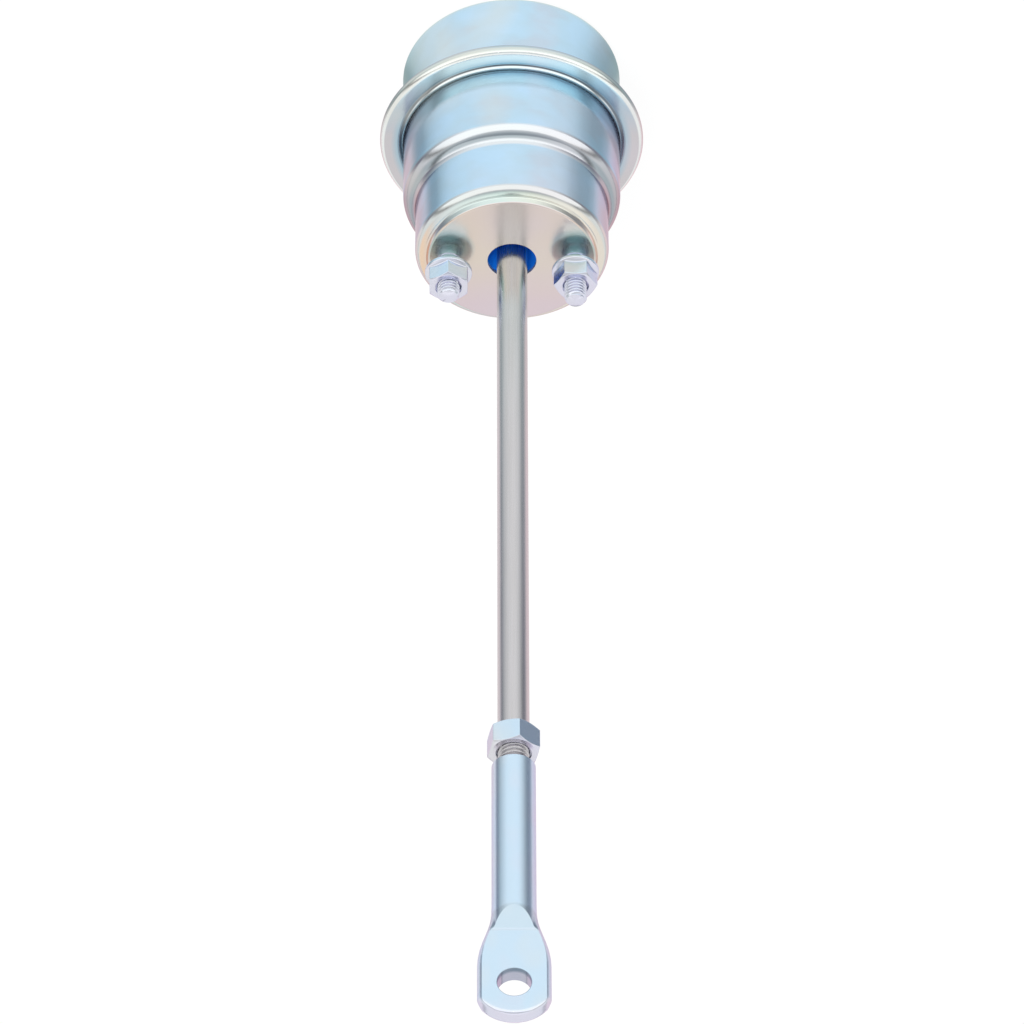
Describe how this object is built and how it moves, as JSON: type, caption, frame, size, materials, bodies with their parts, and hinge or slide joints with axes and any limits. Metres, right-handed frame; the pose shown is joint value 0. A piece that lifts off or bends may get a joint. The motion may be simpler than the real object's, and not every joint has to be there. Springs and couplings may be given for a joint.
{
  "type": "wastegate actuator",
  "caption": "Crimped diaphragm can with a spring-returned push rod, a screwed-on rod end with an eye, threaded mounting studs with flange nuts and a side hose nipple.",
  "frame": {"origin": "centre of the cover's flat closed end, on the rod's axis", "axes": "+Z along the rod, from the cover towards the eye; X through both studs, the short one on +X; +Y along the eye's bore and the hose nipple"},
  "size_m": [0.0702, 0.0882, 0.3216],
  "materials": {
    "plated_can": "bright clear-blue zinc plate on drawn sheet steel",
    "plated_hardware": "bright clear-blue zinc plate on turned and forged steel",
    "rod_steel": "drawn and polished bare steel",
    "inner_steel": "plain drawn sheet steel",
    "spring_steel": "shot-peened spring wire",
    "diaphragm_rubber": "fabric-reinforced rubber, matt",
    "seat_plastic": "blue moulded heat-resistant plastic"
  },
  "bodies": {
    "housing": {"cover": "plated_can", "hose_nipple": "plated_hardware", "spring_can": "plated_can", "main_spring": "spring_steel", "spring_seat": "seat_plastic", "stud_plate": "inner_steel", "short_stud": "plated_hardware", "long_stud": "plated_hardware"},
    "diaphragm": {"diaphragm": "diaphragm_rubber"},
    "rod": {"retainer_plate": "inner_steel", "piston_cup": "inner_steel", "piston_washer": "inner_steel", "actuator_rod": "rod_steel"},
    "jam_nut": {"jam_nut": "plated_hardware"},
    "rod_end": {"rod_end": "plated_hardware"},
    "short_stud_nut": {"short_stud_nut": "plated_hardware"},
    "long_stud_nut": {"long_stud_nut": "plated_hardware"}
  },
  "joints": [
    {"name": "rod_stroke", "type": "slide", "parent": "housing", "child": "diaphragm", "axis": [0, 0, 1], "range_m": [0, 0.018], "stiffness_N_per_m": 5000, "springref_m": -0.015, "deforming": ["main_spring", "diaphragm"]},
    {"name": "rod_rock", "type": "hinge", "parent": "diaphragm", "child": "rod", "pos_m": [0, 0, 0.0048], "axis": [0, 1, 0], "range_deg": [-1.8, 1.8], "stiffness_Nm_per_rad": 20},
    {"name": "jam_nut_turn", "type": "hinge", "parent": "rod", "child": "jam_nut", "pos_m": [0, 0, 0.2358], "axis": [0, 0, 1], "continuous": true},
    {"name": "rod_end_turn", "type": "hinge", "parent": "rod", "child": "rod_end", "pos_m": [0, 0, 0.2431], "axis": [0, 0, 1], "continuous": true},
    {"name": "short_stud_nut_turn", "type": "hinge", "parent": "housing", "child": "short_stud_nut", "pos_m": [0.01665, 0, 0.0744], "axis": [0, 0, 1], "continuous": true},
    {"name": "long_stud_nut_turn", "type": "hinge", "parent": "housing", "child": "long_stud_nut", "pos_m": [-0.01665, 0, 0.0741], "axis": [0, 0, 1], "continuous": true}
  ]
}
